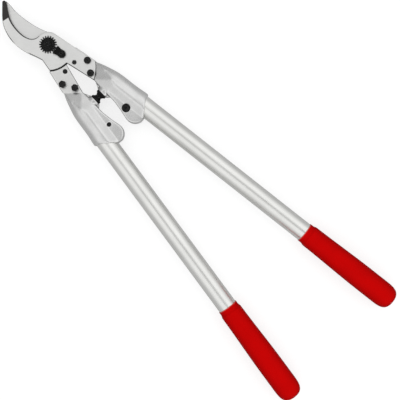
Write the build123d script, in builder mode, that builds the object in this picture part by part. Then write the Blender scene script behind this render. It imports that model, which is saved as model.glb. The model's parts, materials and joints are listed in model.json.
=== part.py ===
"""Bypass loppers: two forged blades on one pivot, each bolted to an aluminium
bracket that clamps a long tube handle with a moulded grip.

Sizes are in millimetres. +Y runs along the centre line towards the blade tips,
+X towards the handle that carries the counter-blade, and +Z out of the face
with the adjusting nut. The origin is below the middle of the closed tool.

The tool is two like halves. A half is drawn in its own plane at the pivot,
where x points to its handle and z to its plate's side. The right half's plane
faces up, and the left half's is the same plane turned half a turn about +Y.
"""

import os
from math import acos, atan2, cos, degrees, radians, sin, tan

from build123d import *

RIGHT, LEFT = 1, -1
sides = {"right": RIGHT, "left": LEFT}

# ---- Overall: distances from the pivot, with the blades closed ----
tip_reach = 77.5
handle_reach = 522.5
handle_lean = 7.67            # each handle leans out from the centre line, degrees
handle_offset = 14.1          # tube axis to centre line, level with the pivot

# ---- Fits ----
running_clearance = 0.05      # turning or sliding faces, each side
fit_clearance = 0.05          # fasteners, pins and tubes in their holes, on the radius
seat_gap = 0.1                # tang end to its seat
screw_end_gap = 0.3           # screw end short of the far face

# ---- Blade plates ----
plate_thick = 4.5
hub_radius = 16.0
collar_radius = 31.6          # round end of each plate, facing the other bracket
tang_lean = 11.45             # outer edge of the tang, degrees from the centre line
tang_length = 54.5            # its outer corner, below the pivot
tang_heel = (10.2, -70.0)     # its inner corner
tang_inner_angle = -88.5      # where its inner edge meets the collar, degrees
seat_bulge = 1.5              # the tang's end stands out this far from a straight one
edge_break = 0.4              # bevel round the collar and up the tang

# ---- Counter-blade ----
tip_round = 2.2
tip_side = -2.7
throat_round = 4.0
collar_round = 1.6
hook_bevel = 1.2              # along the hook's inner edge and the hub
back_bevel = 0.7              # along the hook's back
point_relief = 0.5            # depth of the lowered face at the hook's point

# ---- Cutting blade ----
blade_short = 1.6             # its point is this far short of the counter-blade's
bevel_short = 3.4             # and its face ends this much sooner
blade_heel_angle = 38.0       # where its edge meets the hub, degrees
edge_land = 0.5               # thickness left at the cutting edge

# ---- Pivot ----
bolt_radius = 6.0
bolt_flats = 9.2              # across the two flats that the counter-blade holds
bolt_head_radius = 10.5
bolt_head_thick = 3.2
bolt_key = 6.0                # hexagon socket in the head, across flats
bolt_key_depth = 2.2
thread_radius = 4.0
washer_radius = 11.5
washer_thick = 1.0

# ---- Adjusting nut ----
nut_teeth = 20
nut_tip_radius = 11.0
nut_root_radius = 8.6
tooth_tip = 1.4               # width of a tooth at its tip, and at its root
tooth_root = 1.9
nut_flange = 3.0
nut_boss_radius = 6.6
nut_height = 5.0
nut_dish = 0.9
thread_recess = 0.7           # the bolt's end below the nut's face

# ---- Lock segment ----
lock_angle = 281.2            # it points this way from the pivot, degrees
lock_arm = 9.4                # tips of the nut's teeth to its screw
lock_waist = 3.9              # its screw to the narrowest place of its arms
lock_waist_half = 4.55
lock_round = 5.0
lock_ear = 1.4                # its ears stand out this far past the nut's teeth
lock_spread = 27.5            # half of the angle across its ears, degrees
lock_thick = 2.6
lock_gaps = (270, 288)        # the gaps of the nut that its two teeth fill, degrees
lock_tooth_tip = 0.5          # width of its teeth at their tips, and at their roots
lock_tooth_root = 1.5
lock_clearance = 0.15
lock_screw_radius = 2.5
lock_screw_head = 3.9
lock_screw_head_thick = 2.4
lock_screw_key = 3.0

# ---- Tang fasteners ----
tang_bolts = {"upper": (21.3, -47.6), "lower": (13.2, -61.5)}
tang_bolt_radius = 2.5
tang_bolt_head = 4.35
tang_bolt_head_thick = 2.8
tang_bolt_key = 3.0
tang_bolt_proud = 1.0         # thread past the nut
tang_nut_flats = 8.0
tang_nut_thick = 4.0
tang_pin_angle = -78.1        # from the pivot, degrees
tang_pin_wall = 3.4           # tongue's round edge to the pin's hole
tang_pin_radius = 2.6
tang_pin_proud = 0.4
tang_pin_dimple = 1.2

# ---- Bracket ----
tongue_gap = 1.2              # tongue to the other plate's collar
tongue_side = 1.1             # tongue's outer edge past the tang's
tongue_bevel = 1.2
tongue_root = 16.0            # the tongue runs on this far under the sleeve
tongue_lap = 5.0              # and this far past the tang's heel
web_half = 9.0                # half of the web's and clamp lobe's thickness
web_edge = 9.8                # web's inner edge from the centre line
web_heel_drop = 6.0           # it starts this far below the tang's heel
web_root = 1.6                # its hidden side, inside the sleeve, from the tube's axis
sleeve_wall = 2.2
sleeve_taper = ((52.0, 10.2), (65.6, 5.4), (75.7, 3.2), (86.0, 1.4), (101.0, 0.8), (126.0, 0.0))
ridge_rise = 0.4              # ridge along the sleeve's crown
ridge_inset = 3.2
ridge_foot_drop = 1.1         # foot of its slope, in from the sleeve's side
facet_slope = 24.0            # faces rising from the seat to the sleeve, degrees
hollow_start = (11.5, -71.0)
hollow_slope = 27.1           # hollow beside the sleeve, and the way that it faces, degrees
hollow_turn = 159.5
socket_floor = 101.5          # along the tube's axis
end_inner = (22.0, -146.2)    # the slanting open end, across the tube
end_outer = (45.2, -129.5)
clamp_level = -123.0
clamp_wall = 1.6              # tube's socket to the screw's hole
clamp_radius = 2.5
clamp_head = 4.5
clamp_head_thick = 3.0
clamp_key = 4.0
clamp_seat_depth = 1.4
clamp_seat_clearance = 0.3
slit_width = 1.6
slit_top = -106.0
cast_round = 1.5

# ---- Bumper ----
bumper_level = -88.4
boss_face = 5.8
boss_root = 1.0               # the boss goes this far into the web
boss_rib = 5.0
rib_rise = 7.0                # rib's foot past the boss, towards the blades
rib_drop = 2.5                # and towards the grips
cup_depth = 0.8
cup_wall = 1.25
bumper_radius = 6.7
bumper_nose = 4.1
bumper_bulge = 0.6
bumper_side = 2.3             # straight side past the boss
bumper_gap = 0.15             # nose to the centre line
stem_radius = 4.0
stem_length = 5.0

# ---- Tube and grip ----
tube_radius = 12.0
tube_wall = 1.6
tube_end_gap = 0.5            # tube's ends to the bottoms of the socket and the grip
grip_length = 138.5
grip_bore = 125.0
grip_mouth_wall = 0.7
grip_collar = 4.5
grip_shoulder_wall = 1.9
grip_shoulder_start = 8.0
grip_waist_wall = 2.55
grip_wall = 3.35
grip_round_start = 92.0       # the grip is a plain round bar from here
grip_dome = ((18.5, 0.0), (10.5, 0.6), (5.6, 2.2), (1.9, 7.7))    # short of its end, radius lost
grip_tip_flat = 2.0
grip_rib = (1.3, 5.0, 0.5)    # moulded mark on the collar: width, length, height
grip_rib_turn = 16.0          # from the front, degrees

# ---- Places that follow from the sizes ----
grip_bore_radius = tube_radius + fit_clearance
grip_radius = grip_bore_radius + grip_wall
pivot_y = (handle_reach - tip_reach) / 2
mid_z = grip_radius
lean = radians(handle_lean)
face = running_clearance + plate_thick
sleeve_radius = tube_radius + sleeve_wall
boss_radius = bumper_radius + fit_clearance + cup_wall
lock_reach = nut_tip_radius + lock_arm
tongue_radius = collar_radius + tongue_gap
grip_end = (handle_reach - grip_tip_flat * sin(lean)) / cos(lean)
grip_start = grip_end - grip_length
tube_start = socket_floor + tube_end_gap
tube_length = grip_start + grip_bore - tube_end_gap - tube_start
sleeve_reach = -end_inner[1] / cos(lean) + sleeve_radius


def half(side, height=0.0):
    """A half's own plane, with its origin on the pivot, at a height above the middle."""
    return Plane(
        origin=(0, pivot_y, mid_z + side * height),
        x_dir=(side, 0, 0),
        z_dir=(0, 0, side),
    )


def handle(side, reach):
    """Plane through a tube's axis: x across the tube, y along it to the grip's end."""
    along = Vector(side * sin(lean), -cos(lean), 0)
    level = Vector(side * handle_offset, pivot_y, mid_z)
    return Plane(
        origin=level + along * reach,
        x_dir=(cos(lean), side * sin(lean), 0),
        z_dir=(0, 0, -1),
    )


def across(side, reach):
    """Plane square to a tube's axis: x towards the centre line, z to the grip's end."""
    lengthwise = handle(side, reach)
    return Plane(
        origin=lengthwise.origin,
        x_dir=lengthwise.x_dir * -side,
        z_dir=lengthwise.y_dir,
    )


def heading(side, x, y, z=0.0):
    """A direction given in a half's own axes."""
    return Vector(side * x, y, side * z)


def polar(radius, angle):
    return (radius * cos(radians(angle)), radius * sin(radians(angle)))


def axis_x(level):
    """Centre line to a tube's axis, at a level."""
    return handle_offset - level * tan(lean)


def jaw(*points):
    """Points of a jaw's curve, stretched from the reach that they are drawn at."""
    return [(x, y * tip_reach / drawn_reach) for x, y in points]


def finish(piece, name):
    """Label a finished piece and write its file."""
    piece.part.label = name
    export_step(piece.part, f"parts/{name}.step")


def edge_at(piece, side, place, height):
    """The edge nearest a place in a half's plane, at a height above the middle."""
    spot = half(side, height).from_local_coords(Vector(place))
    return piece.edges().sort_by_distance(spot)[0]


def hexagon(across_flats):
    RegularPolygon(radius=across_flats / 2, side_count=6, major_radius=False)


drawn_reach = 77.5            # the jaws' curves are drawn at this tip_reach
tang_pin_place = polar(
    tongue_radius + tang_pin_wall + fit_clearance + tang_pin_radius, tang_pin_angle
)
clamp_place = (
    axis_x(clamp_level) - (tube_radius + clamp_wall + clamp_radius) / cos(lean),
    clamp_level,
)

os.makedirs("parts", exist_ok=True)

# ======== Tang: the lower end of each plate ========
tang_top = polar(hub_radius, tang_lean)
tang_corner = (
    tang_top[0] + (tang_top[1] + tang_length) * tan(radians(tang_lean)),
    -tang_length,
)
seat_chord = Vector(tang_heel) - Vector(tang_corner)
seat_out = Vector(-seat_chord.Y, seat_chord.X).normalized()
seat_middle = (Vector(tang_corner) + Vector(tang_heel)) / 2


def seat_arc(gap=0.0):
    """The tang's round end, or the seat for it a gap away."""
    ThreePointArc(
        Vector(tang_corner) + seat_out * gap,
        seat_middle + seat_out * (seat_bulge + gap),
        Vector(tang_heel) + seat_out * gap,
    )


def tang_lines(collar_corner_angle):
    """The plate's edge from the hub down the tang and round to the collar's far corner."""
    Line(tang_top, tang_corner)
    seat_arc()
    Line(tang_heel, polar(collar_radius, tang_inner_angle))
    CenterArc(
        (0, 0), collar_radius, tang_inner_angle, collar_corner_angle - tang_inner_angle
    )


def tang_holes():
    """Holes for the pin and the two bolts, all through."""
    with Locations(tang_pin_place):
        Circle(tang_pin_radius + fit_clearance)
    with Locations(*tang_bolts.values()):
        Circle(tang_bolt_radius + fit_clearance)


# ======== Counter-blade ========
hook_corner_angle = -131.4
hook_corner = polar(collar_radius, hook_corner_angle)
collar_end = polar(collar_radius, tang_inner_angle)
hook_throat = (-18.4, -8.2)
hook_back_start = (-21.8, 1.4)
hook_back = jaw((-27.0, 16.0), (-29.1, 31.0), (-27.3, 44.0), (-22.4, 56.5), (-15.0, 65.9))
hook_inner = jaw((-7.2, 64.3), (-12.7, 52.8), (-14.8, 38.5), (-13.3, 26.2), (-8.3, 18.2))
hook_point_way = Vector(0.67, 0.74).normalized()
tip_centre = (tip_side, tip_reach - tip_round)
tip_inner_angle = -14.0
tip_outer_angle = degrees(atan2(hook_point_way.Y, hook_point_way.X)) + 90
# The ends of the step down to the lowered point.
point_back, point_front = jaw((-20.0, 59.7), (-11.0, 57.8))

with BuildPart() as counter_blade:
    with BuildSketch(half(RIGHT, running_clearance)):
        with BuildLine():
            tang_lines(hook_corner_angle)
            Polyline(hook_corner, hook_throat, hook_back_start)
            Spline(hook_back_start, *hook_back, tangents=((-0.40, 0.92), hook_point_way))
            tip = CenterArc(
                tip_centre, tip_round, tip_inner_angle, tip_outer_angle - tip_inner_angle
            )
            Line(hook_back[-1], tip @ 1)
            Spline(tip @ 0, *hook_inner, (0, hub_radius), tangents=((-0.45, -0.89), (1, 0)))
            CenterArc((0, 0), hub_radius, tang_lean, 90 - tang_lean)
        make_face()
    extrude(amount=plate_thick)
    fillet(edge_at(counter_blade, RIGHT, hook_throat, face / 2), radius=throat_round)
    fillet(edge_at(counter_blade, RIGHT, collar_end, face / 2), radius=collar_round)
    # Bevels on the face: inside the hook and round the hub, then along the hook's
    # back to its heel, then round the collar and up the tang.
    chamfer(edge_at(counter_blade, RIGHT, hook_inner[2], face), length=hook_bevel)
    chamfer(edge_at(counter_blade, RIGHT, hook_back[1], face), length=back_bevel)
    tang_inside = (Vector(collar_end) + Vector(tang_heel)) / 2
    collar_middle = polar(collar_radius, (tang_inner_angle + hook_corner_angle) / 2)
    rim_places = (tang_inside, collar_end, collar_middle)
    rim = [edge_at(counter_blade, RIGHT, place, face) for place in rim_places]
    chamfer(rim, length=edge_break)
    with BuildSketch(half(RIGHT, face - point_relief)):
        Polygon(
            (point_back[0] - tip_reach, tip_reach + tip_round),
            (point_back[0] - tip_reach, point_back[1]),
            point_back,
            point_front,
            (tip_reach, point_front[1]),
            (tip_reach, tip_reach + tip_round),
            align=None,
        )
    extrude(amount=point_relief, mode=Mode.SUBTRACT)
    with BuildSketch(half(RIGHT, running_clearance)):
        tang_holes()
        with Locations(polar(lock_reach, lock_angle)):
            Circle(lock_screw_radius + fit_clearance)
    extrude(amount=plate_thick, mode=Mode.SUBTRACT)
    with BuildSketch(half(RIGHT, running_clearance)):
        Circle(bolt_radius + fit_clearance)
        Rectangle(
            bolt_flats + 2 * fit_clearance, 3 * bolt_radius, mode=Mode.INTERSECT
        )
    extrude(amount=plate_thick, mode=Mode.SUBTRACT)
finish(counter_blade, "counter_blade")

# ======== Cutting blade ========
blade_corner_angle = -127.4
blade_spine_start = (-16.2, -6.0)
blade_spine = jaw((-10.4, 12.9), (-5.4, 26.0), (-1.8, 41.4), (0.1, 56.0), (-0.35, 68.0))
blade_point = (-0.2, tip_reach - blade_short)
bevel_point = (-0.35, blade_point[1] - bevel_short)
cutting_edge = jaw(
    (6.2, 71.2), (12.8, 62.0), (17.4, 49.5), (19.0, 36.0), (17.6, 22.5), (14.4, 13.6)
)
bevel_top = jaw(
    (3.0, 67.5), (7.2, 58.5), (10.2, 47.5), (11.2, 35.5), (10.6, 24.5), (9.8, 17.0)
)


def blade_lines(point, edge_points):
    """The blade's outline, round a given run of points for the cutting edge."""
    tang_lines(blade_corner_angle)
    Line(polar(collar_radius, blade_corner_angle), blade_spine_start)
    Spline(blade_spine_start, *blade_spine)
    Line(blade_spine[-1], point)
    Spline(point, *edge_points)
    Line(edge_points[-1], polar(hub_radius, blade_heel_angle))
    CenterArc((0, 0), hub_radius, tang_lean, blade_heel_angle - tang_lean)


with BuildPart() as cutting_blade:
    with BuildSketch(half(LEFT, running_clearance)):
        with BuildLine():
            blade_lines(blade_point, cutting_edge)
        make_face()
    extrude(amount=edge_land)
    with BuildSketch(half(LEFT, running_clearance + edge_land)):
        with BuildLine():
            blade_lines(blade_point, cutting_edge)
        make_face()
    with BuildSketch(half(LEFT, face)):
        with BuildLine():
            blade_lines(bevel_point, bevel_top)
        make_face()
    loft(ruled=True)
    with BuildSketch(half(LEFT, running_clearance)):
        tang_holes()
        Circle(bolt_radius + running_clearance)
    extrude(amount=plate_thick, mode=Mode.SUBTRACT)
finish(cutting_blade, "cutting_blade")

# ======== Pivot bolt, washer and adjusting nut ========
washer_face = -face - running_clearance
head_face = washer_face - washer_thick
bolt_end = face + nut_height - thread_recess

with BuildPart() as pivot_bolt:
    with BuildSketch(half(RIGHT, head_face - bolt_head_thick)):
        Circle(bolt_head_radius)
    extrude(amount=bolt_head_thick)
    chamfer(pivot_bolt.edges().group_by(Axis.Z)[0], length=bolt_head_thick / 4)
    with BuildSketch(half(RIGHT, head_face)):
        Circle(bolt_radius)
    extrude(amount=running_clearance - head_face)
    with BuildSketch(half(RIGHT, running_clearance)):
        Circle(bolt_radius)
        Rectangle(bolt_flats, 3 * bolt_radius, mode=Mode.INTERSECT)
    extrude(amount=plate_thick - seat_gap)
    with BuildSketch(half(RIGHT, face - seat_gap)):
        Circle(thread_radius)
    extrude(amount=bolt_end - face + seat_gap)
    chamfer(pivot_bolt.edges().group_by(Axis.Z)[-1], length=thread_radius / 5)
    with BuildSketch(half(RIGHT, head_face - bolt_head_thick)):
        hexagon(bolt_key)
    extrude(amount=bolt_key_depth, mode=Mode.SUBTRACT)
    with BuildSketch(half(RIGHT, bolt_end)):
        Circle(thread_radius / 2)
    extrude(amount=-thread_radius / 4, taper=30, mode=Mode.SUBTRACT)
finish(pivot_bolt, "pivot_bolt")

with BuildPart() as pivot_washer:
    with BuildSketch(half(RIGHT, head_face)):
        Circle(washer_radius)
        Circle(bolt_radius + fit_clearance, mode=Mode.SUBTRACT)
    extrude(amount=washer_thick)
finish(pivot_washer, "pivot_washer")

with BuildPart() as adjusting_nut:
    with BuildSketch(half(RIGHT, face)):
        Circle(nut_root_radius)
        with PolarLocations(nut_root_radius, nut_teeth, start_angle=180 / nut_teeth):
            tooth_height = nut_tip_radius - nut_root_radius
            Polygon(
                (-tooth_root / 2, -tooth_root / 2),
                (0, -tooth_root / 2),
                (tooth_height - tooth_tip / 4, -tooth_tip / 2),
                (tooth_height, -tooth_tip / 4),
                (tooth_height, tooth_tip / 4),
                (tooth_height - tooth_tip / 4, tooth_tip / 2),
                (0, tooth_root / 2),
                (-tooth_root / 2, tooth_root / 2),
                align=None,
            )
    extrude(amount=nut_flange)
    with BuildSketch(half(RIGHT, face + nut_flange)):
        Circle(nut_boss_radius)
    extrude(amount=nut_height - nut_flange, taper=20)
    with BuildSketch(half(RIGHT, face)):
        Circle(thread_radius + fit_clearance)
    extrude(amount=nut_height, mode=Mode.SUBTRACT)
    dish_edge = adjusting_nut.edges().filter_by(GeomType.CIRCLE).group_by(Axis.Z)[-1]
    chamfer(dish_edge.sort_by(SortBy.RADIUS)[0], length=nut_dish)
finish(adjusting_nut, "adjusting_nut")

# ======== Lock segment and its screw ========
# Its own plane has x pointing from the pivot to the screw.
lock_plane = half(RIGHT, face).rotated((0, 0, lock_angle))
ear = polar(nut_tip_radius + lock_ear, lock_spread)
waist_x = lock_reach - lock_waist
tooth_depth = nut_root_radius - nut_tip_radius + lock_clearance

with BuildPart() as lock_segment:
    with BuildSketch(lock_plane):
        Polygon(
            ear,
            (waist_x, lock_waist_half),
            (lock_reach, lock_round),
            (lock_reach, -lock_round),
            (waist_x, -lock_waist_half),
            (ear[0], -ear[1]),
            align=None,
        )
        with Locations((lock_reach, 0)):
            Circle(lock_round)
        Circle(nut_tip_radius + lock_clearance, mode=Mode.SUBTRACT)
        for gap_angle in lock_gaps:
            with PolarLocations(nut_tip_radius, 1, start_angle=gap_angle - lock_angle):
                Polygon(
                    (tooth_depth, -lock_tooth_tip / 2),
                    (lock_clearance, -lock_tooth_root / 2),
                    (lock_ear, -lock_tooth_root / 2),
                    (lock_ear, lock_tooth_root / 2),
                    (lock_clearance, lock_tooth_root / 2),
                    (tooth_depth, lock_tooth_tip / 2),
                    align=None,
                )
        with Locations((lock_reach, 0)):
            Circle(lock_screw_radius + fit_clearance, mode=Mode.SUBTRACT)
    extrude(amount=lock_thick)
finish(lock_segment, "lock_segment")


def cap_screw(plane, head_radius, head_thick, key, shank_radius, shank_length):
    """Round-headed screw: head above the plane, shank below it."""
    with BuildPart() as screw:
        with BuildSketch(plane):
            Circle(head_radius)
        extrude(amount=head_thick)
        top = screw.faces().sort_by_distance(plane.offset(head_thick).origin)[0]
        fillet(top.edges(), radius=head_thick / 3)
        with BuildSketch(plane):
            Circle(shank_radius)
        extrude(amount=-shank_length)
        end = screw.faces().sort_by_distance(plane.offset(-shank_length).origin)[0]
        chamfer(end.edges(), length=shank_radius / 6)
        with BuildSketch(plane.offset(head_thick)):
            hexagon(key)
        extrude(amount=-head_thick * 0.55, mode=Mode.SUBTRACT)
    return screw


lock_screw = cap_screw(
    Plane(lock_plane.offset(lock_thick).from_local_coords(Vector(lock_reach, 0))),
    lock_screw_head,
    lock_screw_head_thick,
    lock_screw_key,
    lock_screw_radius,
    lock_thick + plate_thick - screw_end_gap,
)
finish(lock_screw, "lock_screw")


# ======== Brackets, with the parts that they hold ========
lobe_top = Vector(clamp_place) + Vector(-6.5, 3.0)
lobe_side = Vector(clamp_place) + Vector(-9.0, -9.0)
lobe_corner = Vector(clamp_place) + Vector(-6.8, -18.6)
lobe_low = Vector(clamp_place) + Vector(2.1, -24.0)


def web_lines():
    """Inner edge of the web and clamp lobe, from the seat to the slanting end."""
    Polyline(
        tang_heel,
        (web_edge, tang_heel[1] - web_heel_drop),
        (web_edge, slit_top),
        lobe_top,
        lobe_side,
    )
    ThreePointArc(lobe_side, lobe_corner, lobe_low)
    Line(lobe_low, end_inner)


def bumper_plane(side):
    """Plane on the boss's face, with z pointing into the boss."""
    return Plane(
        origin=half(side).from_local_coords(Vector(boss_face, bumper_level)),
        x_dir=(0, 1, 0),
        z_dir=heading(side, 1, 0),
    )


def bracket(side):
    """Cast bracket: a tongue for the other plate's layer, a seat for the tang,
    a tapered sleeve with a split clamp lobe for the tube, and the bumper's boss."""
    tongue_angle = tang_lean - degrees(acos((hub_radius + tongue_side) / tongue_radius))
    tongue_corner = polar(tongue_radius, tongue_angle)
    tongue_foot = Vector(tang_corner) + Vector(polar(tongue_side, tang_lean))
    with BuildPart() as piece:
        # Sleeve: round about the tube, tapering towards the seat.
        axis_plane = handle(side, 0)
        with BuildSketch(axis_plane):
            with BuildLine():
                taper = Spline(*[(sleeve_radius - lost, reach) for reach, lost in sleeve_taper])
                Polyline(
                    taper @ 1,
                    (sleeve_radius, sleeve_reach),
                    (0, sleeve_reach),
                    (0, sleeve_taper[0][0]),
                    taper @ 0,
                )
            make_face()
        revolve(axis=Axis(axis_plane.origin, axis_plane.y_dir))
        # Flat slopes from a ridge near the crown down to the web, front and back.
        with BuildSketch(across(side, sleeve_taper[1][0])):
            Polygon(
                (-ridge_inset / 2, sleeve_radius - ridge_rise / 2),
                (ridge_inset, sleeve_radius + ridge_rise),
                (sleeve_radius - ridge_foot_drop, web_half),
                (sleeve_radius - ridge_foot_drop, -web_half),
                (ridge_inset, -sleeve_radius - ridge_rise),
                (-ridge_inset / 2, -sleeve_radius + ridge_rise / 2),
                align=None,
            )
        extrude(amount=sleeve_reach - sleeve_taper[1][0])
        # Web and clamp lobe, along the inner side.
        with BuildSketch(half(side, -web_half)):
            with BuildLine():
                web_lines()
                Polyline(
                    end_inner,
                    (axis_x(end_inner[1]) - web_root, end_inner[1]),
                    (axis_x(tang_heel[1]) - web_root, tang_heel[1]),
                    tang_heel,
                )
            make_face()
        extrude(amount=2 * web_half)
        # Trim to the outline: the seat, the inner edge and the slanting open end.
        with BuildSketch(half(side, -2 * sleeve_radius)):
            with BuildLine():
                web_lines()
                far_end = Vector(end_outer) * 2 - Vector(end_inner)
                Polyline(
                    end_inner,
                    far_end,
                    (far_end.X, 0),
                    Vector(tang_corner) + seat_out * seat_gap,
                )
                seat_arc(seat_gap)
                Line(Vector(tang_heel) + seat_out * seat_gap, tang_heel)
            make_face()
        extrude(amount=4 * sleeve_radius, mode=Mode.INTERSECT)
        # Facets that rise from the seat's level, front and back.
        rise = tan(radians(facet_slope))
        run = 3 * sleeve_radius
        facet_plane = Plane(
            origin=half(side).from_local_coords(seat_middle),
            x_dir=heading(side, seat_out.X, seat_out.Y),
            z_dir=heading(side, -seat_out.Y, seat_out.X),
        )
        with BuildSketch(facet_plane):
            Polygon(
                (-run, face),
                (seat_bulge, face),
                (2 * run, face + (2 * run - seat_bulge) * rise),
                (2 * run, -face - (2 * run - seat_bulge) * rise),
                (seat_bulge, -face),
                (-run, -face),
                align=None,
            )
        extrude(amount=3 * run, both=True, mode=Mode.INTERSECT)
        # Hollows that lead from the seat's inner end down to the web.
        facing = polar(sin(radians(hollow_slope)), hollow_turn)
        for way in (1, -1):
            hollow_plane = Plane(
                origin=half(side, way * face).from_local_coords(Vector(hollow_start)),
                x_dir=heading(side, -facing[1], facing[0]),
                z_dir=heading(side, *facing, way * cos(radians(hollow_slope))),
            )
            with BuildSketch(hollow_plane):
                Rectangle(3 * run, 3 * run)
            extrude(amount=run, mode=Mode.SUBTRACT)
        # Tongue.
        with BuildSketch(half(side, -face)):
            with BuildLine():
                CenterArc((0, 0), tongue_radius, tang_inner_angle, tongue_angle - tang_inner_angle)
                Polyline(
                    tongue_corner,
                    tongue_foot,
                    (axis_x(tongue_foot.Y - tongue_root), tongue_foot.Y - tongue_root),
                    (tang_heel[0] + tongue_lap / 2, tang_heel[1] - tongue_lap),
                    tang_heel,
                    polar(tongue_radius, tang_inner_angle),
                )
            make_face()
        extrude(amount=face + running_clearance)
        tongue_middle = (Vector(tongue_corner) + tongue_foot) / 2
        chamfer(edge_at(piece, side, tongue_middle, -face), length=tongue_bevel)
        # Bumper's boss, on a rib.
        with BuildSketch(half(side, -boss_rib / 2)):
            Polygon(
                (web_edge, bumper_level + boss_radius + rib_rise),
                (boss_face + cup_depth, bumper_level + boss_radius),
                (boss_face + cup_depth, bumper_level - boss_radius),
                (web_edge, bumper_level - boss_radius - rib_drop),
                (web_edge + boss_root, bumper_level),
                align=None,
            )
        extrude(amount=boss_rib)
        with BuildSketch(bumper_plane(side)):
            Circle(boss_radius)
        extrude(amount=web_edge - boss_face + boss_root)
        # Socket for the tube, stem hole and cup for the bumper.
        with BuildSketch(across(side, socket_floor)):
            Circle(tube_radius + fit_clearance)
        extrude(amount=sleeve_reach, mode=Mode.SUBTRACT)
        with BuildSketch(bumper_plane(side)):
            Circle(bumper_radius + fit_clearance)
        extrude(amount=cup_depth, mode=Mode.SUBTRACT)
        with BuildSketch(bumper_plane(side)):
            Circle(stem_radius + fit_clearance)
        extrude(amount=cup_depth + stem_length + seat_gap, mode=Mode.SUBTRACT)
        # Clamp: the slit, the screw's hole and the seat for its head.
        with BuildSketch(half(side, -slit_width / 2)):
            Polygon(
                (0, slit_top),
                (axis_x(slit_top) - web_root, slit_top),
                (axis_x(-sleeve_reach) - web_root, -sleeve_reach),
                (0, -sleeve_reach),
                align=None,
            )
        extrude(amount=slit_width, mode=Mode.SUBTRACT)
        with BuildSketch(half(side, -web_half)):
            with Locations(clamp_place):
                Circle(clamp_radius + fit_clearance)
        extrude(amount=2 * web_half, mode=Mode.SUBTRACT)
        with BuildSketch(half(side, web_half - clamp_seat_depth)):
            with Locations(clamp_place):
                Circle(clamp_head + clamp_seat_clearance)
        extrude(amount=sleeve_radius, mode=Mode.SUBTRACT)
        # Tang fasteners' holes through the tongue.
        with BuildSketch(half(side, -face)):
            tang_holes()
        extrude(amount=face + running_clearance, mode=Mode.SUBTRACT)
        # Soft cast edges along the web and the clamp lobe.
        soft_places = (
            (web_edge, slit_top + slit_width),
            (Vector(web_edge, slit_top) + lobe_top) / 2,
            (lobe_top + lobe_side) / 2,
            lobe_corner,
        )
        for way in (1, -1):
            edges = [edge_at(piece, side, place, way * web_half) for place in soft_places]
            fillet(edges, radius=cast_round)
    return piece


def bumper(side):
    """Rubber bumper: a plug with a stem, and a nose that meets the other one."""
    with BuildPart() as piece:
        with BuildSketch(half(side)):
            with BuildLine():
                Polyline(
                    (bumper_gap, bumper_level),
                    (boss_face + cup_depth + stem_length, bumper_level),
                    (boss_face + cup_depth + stem_length, bumper_level + stem_radius),
                    (boss_face + cup_depth, bumper_level + stem_radius),
                    (boss_face + cup_depth, bumper_level + bumper_radius),
                    (boss_face - bumper_side, bumper_level + bumper_radius),
                )
                SagittaArc(
                    (boss_face - bumper_side, bumper_level + bumper_radius),
                    (bumper_gap, bumper_level + bumper_nose),
                    bumper_bulge,
                )
                Line(
                    (bumper_gap, bumper_level + bumper_nose),
                    (bumper_gap, bumper_level),
                )
            make_face()
        revolve(axis=Axis(half(side).from_local_coords(Vector(0, bumper_level)), (1, 0, 0)))
    return piece


def tube(side):
    """Plain round tube, from the bracket's socket to the bottom of the grip."""
    with BuildPart() as piece:
        with BuildSketch(across(side, tube_start)):
            Circle(tube_radius)
            Circle(tube_radius - tube_wall, mode=Mode.SUBTRACT)
        extrude(amount=tube_length)
    return piece


def grip(side):
    """Moulded sleeve, closed and domed at its end, with a rib on its collar."""
    mouth = grip_bore_radius + grip_mouth_wall
    plane = handle(side, grip_start)
    turn = radians(grip_rib_turn)
    with BuildPart() as piece:
        with BuildSketch(plane):
            with BuildLine():
                body = Spline(
                    (grip_bore_radius + grip_shoulder_wall, grip_shoulder_start),
                    (grip_bore_radius + grip_waist_wall, grip_round_start / 2),
                    (grip_radius, grip_round_start),
                    tangents=((0, 1), (0, 1)),
                )
                dome_points = [(grip_radius - lost, grip_length - short) for short, lost in grip_dome]
                dome = Spline(*dome_points, (grip_tip_flat, grip_length))
                Line(body @ 1, dome @ 0)
                Polyline(
                    dome @ 1,
                    (0, grip_length),
                    (0, grip_bore),
                    (grip_bore_radius, grip_bore),
                    (grip_bore_radius, 0),
                    (mouth, 0),
                    (mouth, grip_collar),
                    body @ 0,
                )
            make_face()
        revolve(axis=Axis(plane.origin, plane.y_dir))
        outward = plane.x_dir * sin(turn) + Vector(0, 0, cos(turn))
        rib_middle = plane.origin + plane.y_dir * (grip_rib[1] / 2 + grip_rib[2])
        rib_plane = Plane(
            origin=rib_middle + outward * (mouth - grip_rib[2]),
            x_dir=plane.y_dir,
            z_dir=outward,
        )
        with BuildSketch(rib_plane):
            SlotOverall(grip_rib[1], grip_rib[0])
        extrude(amount=2 * grip_rib[2])
    return piece


def tang_nut(side, place):
    """Hexagon nut under the tongue, its corners rounded off."""
    corner = tang_nut_flats / 2 / cos(radians(30))
    seat = half(side, -face - tang_nut_thick)
    centre = seat.from_local_coords(Vector(*place))
    with BuildPart() as piece:
        with BuildSketch(Plane(centre, seat.x_dir, seat.z_dir)):
            hexagon(tang_nut_flats)
            Circle(tang_bolt_radius + fit_clearance, mode=Mode.SUBTRACT)
        extrude(amount=tang_nut_thick)
        with BuildSketch(Plane(centre, seat.x_dir, (0, -1, 0))):
            Polygon(
                (0, 0),
                (tang_nut_flats / 2, 0),
                (corner, (corner - tang_nut_flats / 2)),
                (corner, tang_nut_thick),
                (0, tang_nut_thick),
                align=None,
            )
        revolve(axis=Axis(centre, (0, 0, 1)), mode=Mode.INTERSECT)
    return piece


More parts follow.
